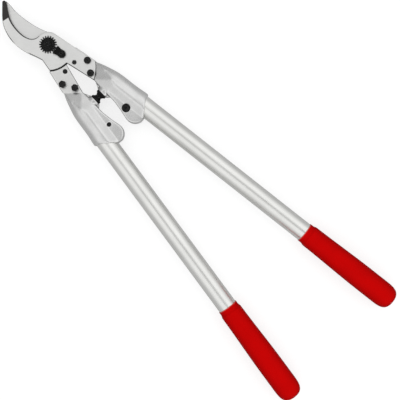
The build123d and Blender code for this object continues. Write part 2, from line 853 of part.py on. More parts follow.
def tang_pin(side):
    """Locating pin through the tang and the tongue, dimpled at both ends."""
    place = Vector(*tang_pin_place)
    low = -face - tang_pin_proud
    length = 2 * (face + tang_pin_proud)
    with BuildPart() as piece:
        with BuildSketch(half(side, low)):
            with Locations(place):
                Circle(tang_pin_radius)
        extrude(amount=length)
        chamfer(piece.edges().filter_by(GeomType.CIRCLE), length=tang_pin_proud)
        for height, way in ((low, 1), (low + length, -1)):
            with BuildSketch(half(side, height)):
                with Locations(place):
                    Circle(tang_pin_dimple)
            extrude(amount=way * tang_pin_dimple / 2, taper=30, mode=Mode.SUBTRACT)
    return piece


def screw_plane(side, place, height):
    """Seat for a screw's head, in a half's plane."""
    seat = half(side, height)
    return Plane(seat.from_local_coords(Vector(*place)), seat.x_dir, seat.z_dir)


for name, side in sides.items():
    finish(bracket(side), f"{name}_bracket")
    finish(bumper(side), f"{name}_bumper")
    finish(tube(side), f"{name}_tube")
    finish(grip(side), f"{name}_grip")
    finish(tang_pin(side), f"{name}_tang_pin")
    for level, place in tang_bolts.items():
        tang_bolt = cap_screw(
            screw_plane(side, place, face),
            tang_bolt_head,
            tang_bolt_head_thick,
            tang_bolt_key,
            tang_bolt_radius,
            2 * face + tang_nut_thick + tang_bolt_proud,
        )
        finish(tang_bolt, f"{name}_{level}_tang_bolt")
        finish(tang_nut(side, place), f"{name}_{level}_tang_nut")
    clamp_screw = cap_screw(
        screw_plane(side, clamp_place, web_half - clamp_seat_depth),
        clamp_head,
        clamp_head_thick,
        clamp_key,
        clamp_radius,
        2 * web_half - clamp_seat_depth - screw_end_gap,
    )
    finish(clamp_screw, f"{name}_clamp_screw")
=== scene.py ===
"""Bypass loppers: the finishes of the steel, castings, tubes and grips, round the fixed frame.

Everything is in metres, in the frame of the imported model: +Y towards the blade tips,
+X towards the handle that carries the counter-blade, +Z out of the face with the nut.
"""

import json
from math import atan2, cos, pi, radians, sin

import bmesh
import bpy
from mathutils import Matrix, Vector


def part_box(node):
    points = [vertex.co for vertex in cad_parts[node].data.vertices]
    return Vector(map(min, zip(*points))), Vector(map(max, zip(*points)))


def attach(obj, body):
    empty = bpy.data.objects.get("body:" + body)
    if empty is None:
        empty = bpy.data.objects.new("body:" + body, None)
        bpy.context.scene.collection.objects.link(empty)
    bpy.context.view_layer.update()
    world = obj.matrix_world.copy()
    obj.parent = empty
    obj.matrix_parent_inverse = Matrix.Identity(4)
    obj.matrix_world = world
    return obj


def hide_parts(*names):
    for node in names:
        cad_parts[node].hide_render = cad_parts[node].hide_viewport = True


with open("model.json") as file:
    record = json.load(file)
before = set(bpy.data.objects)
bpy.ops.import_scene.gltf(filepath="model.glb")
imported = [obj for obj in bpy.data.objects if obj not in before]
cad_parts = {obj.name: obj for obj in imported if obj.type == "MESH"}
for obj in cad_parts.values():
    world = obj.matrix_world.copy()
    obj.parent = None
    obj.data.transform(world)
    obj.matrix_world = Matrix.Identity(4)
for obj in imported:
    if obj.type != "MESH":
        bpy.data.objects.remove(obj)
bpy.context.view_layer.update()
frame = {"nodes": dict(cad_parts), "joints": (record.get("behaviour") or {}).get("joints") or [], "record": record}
nodes = frame["nodes"]
MM = 0.001

# ======== Counter-blade ========
# The hooked plate: forged steel, ground bright on both faces and left dark on its sides.
# Its point is dipped black, and the bevel inside the hook is dark too.
# It is bolted to the right bracket, and the pivot bolt is keyed to it.
steel_bright, steel_cloudy = (0.80, 0.80, 0.79, 1), (0.76, 0.76, 0.75, 1)
steel_scratch = (0.66, 0.66, 0.65, 1)
steel_side, steel_side_grain = (0.030, 0.030, 0.030, 1), (0.07, 0.07, 0.07, 1)
steel_side_worn = (0.30, 0.30, 0.29, 1)
steel_edge_rolled_and_shaded = (0.06, 0.06, 0.06, 1)
steel_dipped, steel_dipped_grain = (0.016, 0.015, 0.014, 1), (0.030, 0.028, 0.027, 1)
bevel_grey, bevel_painted_highlight = (0.26, 0.26, 0.26, 1), (0.90, 0.90, 0.89, 1)
between_plates_painted_shade = (0.012, 0.011, 0.010, 1)
between_plates_shade_start = 17.5 * MM        # below the pivot, where the painted shade between the plates begins
dip_slope, dip_level = 0.211, 55.48 * MM  # the black point's edge: its slope, and its height
half_spread = 0.30              # the slope at which each tang leans away from the middle
pivot = Vector(frame["joints"][0]["pos_m"])


def add(tree, kind, inputs=None, **settings):
    """A node of a kind, with its settings, and its inputs set or linked."""
    node = tree.nodes.new(kind)
    for name, value in settings.items():
        setattr(node, name, value)
    for name, value in (inputs or {}).items():
        if isinstance(value, bpy.types.NodeSocket):
            tree.links.new(value, node.inputs[name])
        else:
            node.inputs[name].default_value = value
    return node


def maths(tree, operation, first, second=0.0, third=0.0):
    """One sum on two numbers or sockets, or three for MULTIPLY_ADD."""
    inputs = {0: first, 1: second, 2: third}
    return add(tree, "ShaderNodeMath", inputs, operation=operation).outputs[0]


def fade(tree, value, start, end, low=0.0, high=1.0):
    """A smooth change from low to high as value goes from start to end."""
    inputs = {"Value": value, "From Min": start, "From Max": end, "To Min": low, "To Max": high}
    return add(tree, "ShaderNodeMapRange", inputs, interpolation_type="SMOOTHSTEP").outputs[0]


def blend(tree, factor, first, second):
    """Two colours mixed by a factor."""
    inputs = {0: factor, 6: first, 7: second}
    return add(tree, "ShaderNodeMix", inputs, data_type="RGBA").outputs[2]


def start_group(name, inputs, outputs):
    """An empty effect with named inputs and outputs: its tree, its inputs and its outputs."""
    tree = bpy.data.node_groups.new(name, "ShaderNodeTree")
    for direction, names in (("INPUT", inputs), ("OUTPUT", outputs)):
        for socket in names:
            kind = "NodeSocketVector" if socket == "Place" else "NodeSocketFloat"
            tree.interface.new_socket(socket, in_out=direction, socket_type=kind)
    return tree, tree.nodes.new("NodeGroupInput").outputs, tree.nodes.new("NodeGroupOutput").inputs


def effect(tree, group, **inputs):
    """An effect placed in a material, with its own values; gives its first output."""
    return add(tree, "ShaderNodeGroup", inputs, node_tree=group).outputs[0]


def start_material(name, **constants):
    """A material with one shader: its tree, the shader and the place on the piece."""
    material = bpy.data.materials.new(name)
    material.use_nodes = True
    tree = material.node_tree
    shader = tree.nodes["Principled BSDF"]
    for socket, value in constants.items():
        shader.inputs[socket.replace("_", " ")].default_value = value
    place = add(tree, "ShaderNodeTexCoord").outputs["Object"]
    return material, tree, shader, place


def bump(tree, shader, height, depth):
    """A height, in units of the depth, that tilts the surface."""
    node = add(tree, "ShaderNodeBump", {"Height": height, "Distance": depth, "Strength": 1.0})
    tree.links.new(node.outputs[0], shader.inputs["Normal"])


def dress(material, *names):
    """Put a material on every slot of the named pieces of the frame."""
    for name in names:
        for slot in nodes[name].material_slots:
            slot.material = material


def make_mottle():
    """Slow, cloudy change over a surface, from 0 to 1."""
    tree, given, out = start_group("mottle", ("Place", "Size"), ("Amount",))
    scale = maths(tree, "DIVIDE", 1.0, given["Size"])
    inputs = {"Vector": given["Place"], "Scale": scale, "Detail": 4.0}
    noise = add(tree, "ShaderNodeTexNoise", inputs)
    tree.links.new(fade(tree, noise.outputs[0], 0.3, 0.7), out["Amount"])
    return tree


def make_grain():
    """Fine, even grain, as of a blasted or moulded surface, from 0 to 1."""
    tree, given, out = start_group("grain", ("Place", "Size"), ("Height",))
    scale = maths(tree, "DIVIDE", 1.0, given["Size"])
    inputs = {"Vector": given["Place"], "Scale": scale, "Detail": 2.0, "Roughness": 0.6}
    noise = add(tree, "ShaderNodeTexNoise", inputs)
    tree.links.new(noise.outputs[0], out["Height"])
    return tree


def make_lines():
    """Fine lines left by grinding or drawing; Turn is their heading about Z."""
    tree, given, out = start_group("tool_lines", ("Place", "Turn", "Width", "Length"), ("Height",))
    inputs = {"Vector": given["Place"], "Angle": given["Turn"]}
    turned = add(tree, "ShaderNodeVectorRotate", inputs, rotation_type="Z_AXIS").outputs[0]
    across = maths(tree, "DIVIDE", 1.0, given["Width"])
    along = maths(tree, "DIVIDE", 1.0, given["Length"])
    size = add(tree, "ShaderNodeCombineXYZ", {"X": along, "Y": across, "Z": across}).outputs[0]
    scaled = add(tree, "ShaderNodeVectorMath", {0: turned, 1: size}, operation="MULTIPLY")
    inputs = {"Vector": scaled.outputs[0], "Scale": 1.0, "Detail": 3.0}
    noise = add(tree, "ShaderNodeTexNoise", inputs)
    tree.links.new(fade(tree, noise.outputs[0], 0.25, 0.75), out["Height"])
    return tree


def make_edge_line():
    """1 along sharp edges, fading within a width of them."""
    tree, given, out = start_group("edge_line", ("Width",), ("Amount",))
    rounded = add(tree, "ShaderNodeBevel", {"Radius": given["Width"]}, samples=6).outputs[0]
    flat = add(tree, "ShaderNodeNewGeometry").outputs["Normal"]
    facing = add(tree, "ShaderNodeVectorMath", {0: rounded, 1: flat}, operation="DOT_PRODUCT")
    tree.links.new(fade(tree, facing.outputs["Value"], 0.995, 0.90), out["Amount"])
    return tree


def make_wear():
    """Where edges stand out, broken up by handling, from 0 to 1."""
    tree, given, out = start_group("edge_wear", ("Place", "Width", "Patch"), ("Amount",))
    edge = effect(tree, edge_line, Width=given["Width"])
    scale = maths(tree, "DIVIDE", 1.0, given["Patch"])
    inputs = {"Vector": given["Place"], "Scale": scale, "Detail": 5.0}
    noise = add(tree, "ShaderNodeTexNoise", inputs)
    broken = fade(tree, noise.outputs[0], 0.35, 0.65, 0.25, 1.0)
    tree.links.new(maths(tree, "MULTIPLY", edge, broken), out["Amount"])
    return tree


def make_face_mask():
    """1 on the flat ground faces of a plate, 0 on its sides and steep bevels."""
    tree, _, out = start_group("plate_face", (), ("Mask",))
    normal = add(tree, "ShaderNodeNewGeometry").outputs["Normal"]
    height = add(tree, "ShaderNodeSeparateXYZ", {0: normal}).outputs["Z"]
    steep = maths(tree, "ABSOLUTE", height)
    tree.links.new(fade(tree, steep, 0.80, 0.93), out["Mask"])
    return tree


mottle = make_mottle()
grain = make_grain()
tool_lines = make_lines()
edge_line = make_edge_line()
edge_wear = make_wear()
plate_face = make_face_mask()


def ground_steel(name, turn):
    """Steel plate ground in one direction, and its shader, for more colour on top."""
    material, tree, shader, place = start_material(name, Metallic=1.0)
    face = effect(tree, plate_face)
    lines = effect(tree, tool_lines, Place=place, Turn=turn, Width=0.25 * MM, Length=9 * MM)
    cloud = effect(tree, mottle, Place=place, Size=18 * MM)
    fine = effect(tree, grain, Place=place, Size=0.35 * MM)
    worn = effect(tree, edge_wear, Place=place, Width=0.35 * MM, Patch=4 * MM)
    toned = blend(tree, cloud, steel_cloudy, steel_bright)
    lined = blend(tree, maths(tree, "MULTIPLY", lines, 0.16), toned, steel_scratch)
    side = blend(tree, fine, steel_side, steel_side_grain)
    side = blend(tree, maths(tree, "MULTIPLY", worn, 0.3), side, steel_side_worn)
    colour = blend(tree, face, side, lined)
    # Painted shade between the plates: a dark line under each collar's edge, where the gap lies in shade. It
    # covers all of the inner face below the pivot, so opening the tool bares a black patch of it.
    spot = add(tree, "ShaderNodeSeparateXYZ", {0: place}).outputs
    depth = maths(tree, "ABSOLUTE", maths(tree, "SUBTRACT", spot["Z"], pivot.z))
    between = fade(tree, depth, 0.9 * MM, 0.5 * MM)
    start = pivot.y - between_plates_shade_start
    below = fade(tree, spot["Y"], start + 1.5 * MM, start - 1.5 * MM)
    colour = blend(tree, maths(tree, "MULTIPLY", between, below), colour, between_plates_painted_shade)
    polish = maths(tree, "MULTIPLY_ADD", lines, 0.12, 0.36)
    rough = fade(tree, face, 0.0, 1.0, 0.52, polish)
    tree.links.new(rough, shader.inputs["Roughness"])
    ground = maths(tree, "MULTIPLY", lines, face)
    bump(tree, shader, maths(tree, "MULTIPLY_ADD", fine, 0.6, ground), 0.012 * MM)
    return material, tree, shader, place, colour


def counter_blade_steel():
    material, tree, shader, place, colour = ground_steel("counter_blade_steel", radians(62))
    axis = add(tree, "ShaderNodeSeparateXYZ", {0: place}).outputs
    level = maths(tree, "MULTIPLY_ADD", axis["X"], dip_slope, axis["Y"])
    edge = pivot.y + dip_level
    dipped = fade(tree, level, edge - 0.1 * MM, edge + 0.1 * MM)
    fine = effect(tree, grain, Place=place, Size=0.6 * MM)
    dark = blend(tree, fine, steel_dipped, steel_dipped_grain)
    # The edges are darkened round the hook and inside the tang, partly a real dark rolled edge and partly painted
    # shade, and the outer bevels of the hub and tang are painted bright as a painted highlight.
    slope = add(tree, "ShaderNodeNewGeometry").outputs["Normal"]
    rise = add(tree, "ShaderNodeSeparateXYZ", {0: slope}).outputs["Z"]
    root = fade(tree, axis["Y"], pivot.y + 27 * MM, pivot.y + 17 * MM)
    lean = maths(tree, "MULTIPLY_ADD", axis["Y"], half_spread, axis["X"])
    outer_level = half_spread * pivot.y
    outer = fade(tree, lean, outer_level + 2 * MM, outer_level + 5 * MM)
    bright = maths(tree, "MULTIPLY", outer, root)
    bevel = maths(tree, "MULTIPLY", fade(tree, rise, 0.45, 0.60), fade(tree, rise, 0.93, 0.80))
    colour = blend(tree, maths(tree, "MULTIPLY", bevel, root), colour, bevel_grey)
    colour = blend(tree, maths(tree, "MULTIPLY", bevel, bright), colour, bevel_painted_highlight)
    dark_edge = effect(tree, edge_line, Width=1.2 * MM)
    edge_shade_mask = maths(tree, "MULTIPLY", dark_edge, fade(tree, bright, 0, 1, 1, 0))
    colour = blend(tree, maths(tree, "MULTIPLY", edge_shade_mask, 0.85), colour, steel_edge_rolled_and_shaded)
    colour = blend(tree, dipped, colour, dark)
    tree.links.new(colour, shader.inputs["Base Color"])
    tree.links.new(fade(tree, dipped, 0, 1, 1.0, 0.35), shader.inputs["Metallic"])
    return material


dress(counter_blade_steel(), "counter_blade")

# ======== Cutting blade ========
# The curved plate behind it: the same steel, ground on both faces, with a long bevel
# to the cutting edge on its back. It turns on the pivot bolt's shank.


def cutting_blade_steel():
    material, tree, shader, _, colour = ground_steel("cutting_blade_steel", radians(38))
    # Its edges are darkened all round, partly a real dark rolled edge and partly painted shade of edges lying
    # lower, in shadow.
    edge_shade_mask = maths(tree, "MULTIPLY", effect(tree, edge_line, Width=1.3 * MM), 0.9)
    colour = blend(tree, edge_shade_mask, colour, steel_edge_rolled_and_shaded)
    tree.links.new(colour, shader.inputs["Base Color"])
    return material


dress(cutting_blade_steel(), "cutting_blade")

# ======== Pivot bolt, washer, adjusting nut, lock segment and its screw ========
# Turned steel, blackened. The nut sets the blades' drag and the segment keys its teeth.
# The washer under the bolt's head is plain steel, turned.


def blackened_steel(name, dark, light, edge_wear_and_glint_tone):
    """Blackened steel between two depths of grey, worn through a little on its edges, which are also lightened as
    a painted highlight.
    """
    material, tree, shader, place = start_material(name, Specular_IOR_Level=0.12)
    cloud = effect(tree, mottle, Place=place, Size=5 * MM)
    fine = effect(tree, grain, Place=place, Size=0.3 * MM)
    worn = effect(tree, edge_wear, Place=place, Width=0.35 * MM, Patch=2 * MM)
    toned = blend(tree, cloud, (dark, dark, dark, 1), (light, light, light, 1))
    # The lighter edges are partly real wear and partly a painted highlight.
    bare_and_glint = (edge_wear_and_glint_tone, edge_wear_and_glint_tone, edge_wear_and_glint_tone, 1)
    colour = blend(tree, maths(tree, "MULTIPLY", worn, 0.5), toned, bare_and_glint)
    tree.links.new(colour, shader.inputs["Base Color"])
    tree.links.new(fade(tree, cloud, 0.0, 1.0, 0.28, 0.42), shader.inputs["Roughness"])
    bump(tree, shader, fine, 0.010 * MM)
    return material


def washer_steel():
    material, tree, shader, place = start_material("washer_steel", Metallic=1.0)
    lines = effect(tree, tool_lines, Place=place, Turn=0.0, Width=0.2 * MM, Length=3 * MM)
    worn = effect(tree, edge_wear, Place=place, Width=0.3 * MM, Patch=3 * MM)
    toned = blend(tree, lines, (0.42, 0.42, 0.42, 1), (0.52, 0.52, 0.51, 1))
    colour = blend(tree, worn, toned, (0.66, 0.66, 0.65, 1))
    tree.links.new(colour, shader.inputs["Base Color"])
    tree.links.new(fade(tree, lines, 0, 1, 0.30, 0.42), shader.inputs["Roughness"])
    bump(tree, shader, lines, 0.008 * MM)
    return material


pivot_black = blackened_steel("pivot_black", 0.002, 0.008, 0.32)
dress(pivot_black, "pivot_bolt", "lock_segment", "lock_screw")
dress(washer_steel(), "pivot_washer")

# The nut's outline inside its teeth, in millimetres: radius, and height above its foot.
nut_outline = (
    (7.9, 1.9), (7.0, 2.4), (6.7, 2.7), (6.6, 4.6), (6.3, 4.9), (5.9, 5.0), (5.5, 4.9),
    (4.7, 4.2), (4.4, 4.1), (4.0, 4.1), (4.0, 0.0),
)
tooth_count = 20
tooth_pitch = 2 * pi / tooth_count
first_tooth = tooth_pitch / 2   # half a pitch round from +X, so that a gap faces +X
tooth_tip_radius, tooth_root_radius = 11.0, 8.4
# One tooth's outline: share of its pitch from its middle, and share of its height.
tooth_shape = (
    (-0.44, 0.0), (-0.29, 0.22), (-0.20, 0.60), (-0.14, 0.95), (-0.09, 1.0),
    (0.09, 1.0), (0.14, 0.95), (0.20, 0.60), (0.29, 0.22), (0.44, 0.0),
)


def new_object(name, data):
    """A new object of the data, in the scene."""
    thing = bpy.data.objects.new(name, data)
    bpy.context.scene.collection.objects.link(thing)
    return thing


def finished_piece(name, shape, sharp_angle, placing=Matrix()):
    """A shape put in its place, smooth but for edges sharper than an angle in degrees."""
    mesh = bpy.data.meshes.new(name)
    shape.to_mesh(mesh)
    shape.free()
    mesh.transform(placing)
    for face in mesh.polygons:
        face.use_smooth = True
    mesh.set_sharp_from_angle(angle=radians(sharp_angle))
    return new_object(name, mesh)


def toothed_nut(name, foot):
    """The nut: its toothed rim, thin and rounded over, round a dished boss."""
    shape = bmesh.new()
    turns, rises = [], []
    for tooth in range(tooth_count):
        for share, rise in tooth_shape:
            turns.append(first_tooth + tooth_pitch * (tooth + share))
            rises.append(rise)
    rings = []
    for level, back in ((0.0, 0.0), (1.3, 0.0), (1.6, 0.1), (1.75, 0.4)):
        tooth_height = tooth_tip_radius - tooth_root_radius
        radii = [tooth_root_radius + tooth_height * rise - back for rise in rises]
        rings.append([(radius, level) for radius in radii])
    for radius, level in nut_outline:
        rings.append([(radius, level)] * len(turns))
    levels = []
    for ring in rings:
        points = []
        for turn, (radius, level) in zip(turns, ring):
            spot = Vector((radius * cos(turn), radius * sin(turn), level)) * MM
            points.append(shape.verts.new(foot + spot))
        levels.append(points)
    count = len(turns)
    for inner, outer in zip(levels, levels[1:] + levels[:1]):
        for i in range(count):
            j = (i + 1) % count
            shape.faces.new((inner[i], inner[j], outer[j], outer[i]))
    bmesh.ops.recalc_face_normals(shape, faces=shape.faces)
    return finished_piece(name, shape, 40)


nut_low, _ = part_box("adjusting_nut")
nut = toothed_nut("toothed_adjusting_nut", Vector((pivot.x, pivot.y, nut_low.z)))
nut.data.materials.append(pivot_black)
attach(nut, "counter_blade_half")
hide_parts("adjusting_nut")

# ======== Tang pins, bolts and nuts, and clamp screws ========
# Blackened M5 fasteners that hold each blade's tang to its bracket, and one screw that
# draws each bracket's clamp onto its tube.
fastener_black = blackened_steel("fastener_black", 0.008, 0.020, 0.20)
for side in ("right", "left"):
    dress(
        fastener_black,
        f"{side}_tang_pin",
        f"{side}_upper_tang_bolt",
        f"{side}_upper_tang_nut",
        f"{side}_lower_tang_bolt",
        f"{side}_lower_tang_nut",
        f"{side}_clamp_screw",
    )

# ======== Brackets ========
# Forged aluminium, tumbled to a soft satin. Each seats its blade's tang, and grows
# from a flat tongue to a round sleeve for the tube, with a split lobe beside it.


cast_dull, cast_bright = (0.70, 0.70, 0.69, 1), (0.78, 0.78, 0.77, 1)
cast_speckle, cast_worn = (0.52, 0.52, 0.53, 1), (0.84, 0.84, 0.83, 1)
cast_edge_painted_shade = (0.03, 0.03, 0.03, 1)
tongue_half = 4.85 * MM         # from the middle plane to the tongue's machined faces


def forged_aluminium():
    material, tree, shader, place = start_material("forged_aluminium", Metallic=1.0)
    cloud = effect(tree, mottle, Place=place, Size=14 * MM)
    fine = effect(tree, grain, Place=place, Size=0.8 * MM)
    worn = effect(tree, edge_wear, Place=place, Width=0.8 * MM, Patch=6 * MM)
    toned = blend(tree, cloud, cast_dull, cast_bright)
    speckled = blend(tree, maths(tree, "MULTIPLY", fine, 0.5), toned, cast_speckle)
    colour = blend(tree, maths(tree, "MULTIPLY", worn, 0.5), speckled, cast_worn)
    # The tongue's two faces are machined flat, and brighter than the casting's skin.
    spot = add(tree, "ShaderNodeSeparateXYZ", {0: place}).outputs
    depth = maths(tree, "ABSOLUTE", maths(tree, "SUBTRACT", spot["Z"], pivot.z))
    level = fade(tree, depth, tongue_half + 0.15 * MM, tongue_half - 0.15 * MM)
    machined = maths(tree, "MULTIPLY", level, effect(tree, plate_face))
    cut = effect(tree, tool_lines, Place=place, Turn=radians(20), Width=0.25 * MM, Length=9 * MM)
    bright = blend(tree, cut, cast_bright, cast_dull)
    colour = blend(tree, machined, colour, bright)
    # Along the tongue's inner edge the colour is darkened, a painted shade where the rounded edge turns from the
    # light.
    across = maths(tree, "ABSOLUTE", spot["X"])
    lean = maths(tree, "MULTIPLY_ADD", spot["Y"], half_spread, across)
    inner_level = half_spread * pivot.y
    inner = fade(tree, lean, inner_level - 1 * MM, inner_level - 4 * MM)
    edge_shade_mask = maths(tree, "MULTIPLY", effect(tree, edge_line, Width=1.4 * MM), level)
    colour = blend(tree, maths(tree, "MULTIPLY", edge_shade_mask, inner), colour, cast_edge_painted_shade)
    tree.links.new(colour, shader.inputs["Base Color"])
    rough = fade(tree, fine, 0.3, 0.7, 0.24, 0.34)
    tree.links.new(fade(tree, machined, 0, 1, rough, 0.40), shader.inputs["Roughness"])
    skin = maths(tree, "MULTIPLY", fine, fade(tree, machined, 0, 1, 1, 0.3))
    bump(tree, shader, skin, 0.020 * MM)
    return material


crown_height = 9.6 * MM         # from the middle plane, above which the sleeve is a crown
crown_start = pivot.y - 72 * MM


def softened_casting(node, voxel, passes, crown_passes):
    """The node's shape, evenly meshed, with its cast edges softened, and its crowns more."""
    source = nodes[node]
    piece = new_object(f"{node}_casting", source.data.copy())
    piece.matrix_world = source.matrix_world
    remesh = piece.modifiers.new("even_mesh", "REMESH")
    remesh.mode = "VOXEL"
    remesh.voxel_size = voxel
    bpy.context.view_layer.update()
    remeshed = piece.evaluated_get(bpy.context.evaluated_depsgraph_get())
    mesh = bpy.data.meshes.new_from_object(remeshed)
    piece.modifiers.clear()
    piece.data = mesh
    shape = bmesh.new()
    shape.from_mesh(mesh)
    all_ways = {"use_axis_x": True, "use_axis_y": True, "use_axis_z": True}
    crowns = []
    for point in shape.verts:
        place = piece.matrix_world @ point.co
        if abs(place.z - pivot.z) > crown_height and place.y < crown_start:
            crowns.append(point)
    for points, count in ((shape.verts[:], passes), (crowns, crown_passes)):
        for _ in range(count):
            bmesh.ops.smooth_vert(shape, verts=points, factor=0.5, **all_ways)
    shape.to_mesh(mesh)
    shape.free()
    mesh.materials.clear()
    for face in mesh.polygons:
        face.use_smooth = True
    return piece


halves = {"right": "counter_blade_half", "left": "cutting_blade_half"}
aluminium = forged_aluminium()
for side, half in halves.items():
    casting = softened_casting(f"{side}_bracket", 0.6 * MM, 5, 30)
    casting.data.materials.append(aluminium)
    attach(casting, half)
    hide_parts(f"{side}_bracket")

# ======== Bumpers ========
# Black rubber plugs, moulded with a waisted nose. Each is pressed into its bracket's boss
# by a stem, and the two noses meet when the handles close.


def black_rubber():
    material, tree, shader, place = start_material("black_rubber", Specular_IOR_Level=0.15)
    cloud = effect(tree, mottle, Place=place, Size=4 * MM)
    fine = effect(tree, grain, Place=place, Size=0.5 * MM)
    worn = effect(tree, edge_wear, Place=place, Width=0.6 * MM, Patch=3 * MM)
    black_tone = blend(tree, cloud, (0.004, 0.004, 0.004, 1), (0.010, 0.010, 0.010, 1))
    colour = blend(tree, maths(tree, "MULTIPLY", worn, 0.5), black_tone, (0.035, 0.035, 0.035, 1))
    tree.links.new(colour, shader.inputs["Base Color"])
    tree.links.new(fade(tree, cloud, 0, 1, 0.55, 0.75), shader.inputs["Roughness"])
    bump(tree, shader, fine, 0.030 * MM)
    return material


def turned_piece(name, outline, start, heading, steps=96):
    """A round piece: an outline of radius and reach spun about the line from start."""
    shape = bmesh.new()
    points = [shape.verts.new((radius, 0, reach)) for radius, reach in outline]
    edges = [shape.edges.new(pair) for pair in zip(points, points[1:] + points[:1])]
    bmesh.ops.spin(
        shape, geom=points + edges, axis=(0, 0, 1), cent=(0, 0, 0), angle=2 * pi, steps=steps
    )
    bmesh.ops.remove_doubles(shape, verts=shape.verts, dist=0.001 * MM)
    bmesh.ops.dissolve_degenerate(shape, edges=shape.edges, dist=0.001 * MM)
    bmesh.ops.recalc_face_normals(shape, faces=shape.faces)
    turn = heading.to_track_quat("Z", "X").to_matrix().to_4x4()
    return finished_piece(name, shape, 35, Matrix.Translation(start) @ turn)


bumper_radius, nose_radius = 6.7 * MM, 4.1 * MM
stem_radius, stem_length = 4.0 * MM, 5.0 * MM
plug_length = 3.1 * MM         # straight side of the plug, to its foot
nose_gap = 0.02 * MM           # the noses all but touch on the centre line
nose_steps = 10
rubber = black_rubber()
for side, half in halves.items():
    low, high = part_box(f"{side}_bumper")
    way = 1 if side == "right" else -1
    depth = max(abs(low.x), abs(high.x)) - nose_gap
    foot = depth - stem_length
    rim = foot - plug_length
    outline = [(0, 0), (nose_radius - 0.5 * MM, 0), (nose_radius, 0.4 * MM)]
    for step in range(1, nose_steps):
        share = step / nose_steps
        hollow = 0.6 * MM * sin(pi * share)
        radius = nose_radius + (bumper_radius - nose_radius) * share - hollow
        outline.append((radius, 0.4 * MM + (rim - 0.4 * MM) * share))
    outline += [(bumper_radius - 0.1 * MM, rim), (bumper_radius, rim + 0.2 * MM)]
    outline += [(bumper_radius, foot), (stem_radius, foot), (stem_radius, depth), (0, depth)]
    nose = Vector((way * nose_gap, (low.y + high.y) / 2, (low.z + high.z) / 2))
    bumper = turned_piece(f"{side}_moulded_bumper", outline, nose, Vector((way, 0, 0)))
    bumper.data.materials.append(rubber)
    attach(bumper, half)
    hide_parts(f"{side}_bumper")

# ======== Handle tubes ========
# Drawn aluminium tube, 24 mm across, anodised to a clear satin. It is clamped in the
# bracket's sleeve, and the grip is pushed on at the other end.


tube_dull, tube_bright = (0.77, 0.77, 0.75, 1), (0.82, 0.82, 0.80, 1)
tube_draw_line = (0.72, 0.72, 0.70, 1)


def anodised_aluminium(name, heading):
    material, tree, shader, place = start_material(name, Metallic=1.0)
    turn = -atan2(heading.y, heading.x)
    lines = effect(tree, tool_lines, Place=place, Turn=turn, Width=0.3 * MM, Length=60 * MM)
    cloud = effect(tree, mottle, Place=place, Size=30 * MM)
    toned = blend(tree, cloud, tube_dull, tube_bright)
    colour = blend(tree, maths(tree, "MULTIPLY", lines, 0.2), toned, tube_draw_line)
    tree.links.new(colour, shader.inputs["Base Color"])
    tree.links.new(fade(tree, lines, 0, 1, 0.26, 0.34), shader.inputs["Roughness"])
    bump(tree, shader, lines, 0.003 * MM)
    return material


mounts = {mount["name"]: mount for mount in frame["record"]["mounts"]}
tube_wall = 1.6 * MM
for side, half in halves.items():
    clip = mounts[f"{side}_tube_clip"]
    heading = Vector(clip["axis"])
    tube_radius = clip["dims"]["r_mm"] * MM
    low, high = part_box(f"{side}_tube")
    tube_length = (high.y - low.y - 2 * tube_radius * abs(heading.x)) / abs(heading.y)
    tube_middle = (low + high) / 2
    tube_start = tube_middle - heading * tube_length / 2
    inside = tube_radius - tube_wall
    outline = [(inside, 0), (tube_radius, 0), (tube_radius, tube_length), (inside, tube_length)]
    tube = turned_piece(f"{side}_drawn_tube", outline, tube_start, heading)
    tube.data.materials.append(anodised_aluminium(f"{side}_tube_finish", heading))
    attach(tube, half)
    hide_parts(f"{side}_tube")

# ======== Grips ========
# Red vinyl sleeves, moulded with a collar at the mouth and a domed end, and pushed
# onto the tubes.


red_deep, red_bright = (0.59, 0.0, 0.0, 1), (0.63, 0.0, 0.0, 1)
red_worn, red_lip, red_painted_side_shade = (0.62, 0.02, 0.015, 1), (0.85, 0.22, 0.18, 1), (0.16, 0.0, 0.0, 1)


def red_vinyl(name, mouth, heading):
    material, tree, shader, place = start_material(name, Specular_IOR_Level=0.03)
    cloud = effect(tree, mottle, Place=place, Size=22 * MM)
    fine = effect(tree, grain, Place=place, Size=0.6 * MM)
    worn = effect(tree, edge_wear, Place=place, Width=0.8 * MM, Patch=5 * MM)
    toned = blend(tree, cloud, red_deep, red_bright)
    colour = blend(tree, maths(tree, "MULTIPLY", worn, 0.2), toned, red_worn)
    inward = add(tree, "ShaderNodeVectorMath", {0: place, 1: mouth}, operation="SUBTRACT")
    inputs = {0: inward.outputs[0], 1: heading}
    reach = add(tree, "ShaderNodeVectorMath", inputs, operation="DOT_PRODUCT").outputs["Value"]
    lip = fade(tree, reach, 1.1 * MM, 0.5 * MM)
    colour = blend(tree, maths(tree, "MULTIPLY", lip, 0.7), colour, red_lip)
    # Painted shade: the colour darkens where the surface turns away from the camera, as if its sides were in
    # shade.
    turned_away = add(tree, "ShaderNodeLayerWeight", {"Blend": 0.5}).outputs["Facing"]
    painted_side_shade = fade(tree, turned_away, 0.05, 0.95, 0.0, 0.62)
    colour = blend(tree, painted_side_shade, colour, red_painted_side_shade)
    tree.links.new(colour, shader.inputs["Base Color"])
    tree.links.new(fade(tree, fine, 0.3, 0.7, 0.48, 0.62), shader.inputs["Roughness"])
    bump(tree, shader, fine, 0.030 * MM)
    return material


collar_radius, collar_length = 12.75 * MM, 4.5 * MM
shoulder_radius, shoulder_reach = 13.95 * MM, 8.0 * MM
round_reach = 92.0 * MM        # the grip is a plain round bar from here to its dome
dome_length = 22.5 * MM
dome_power = 3.4
bore_length = 125.0 * MM
edge_round = 0.35 * MM


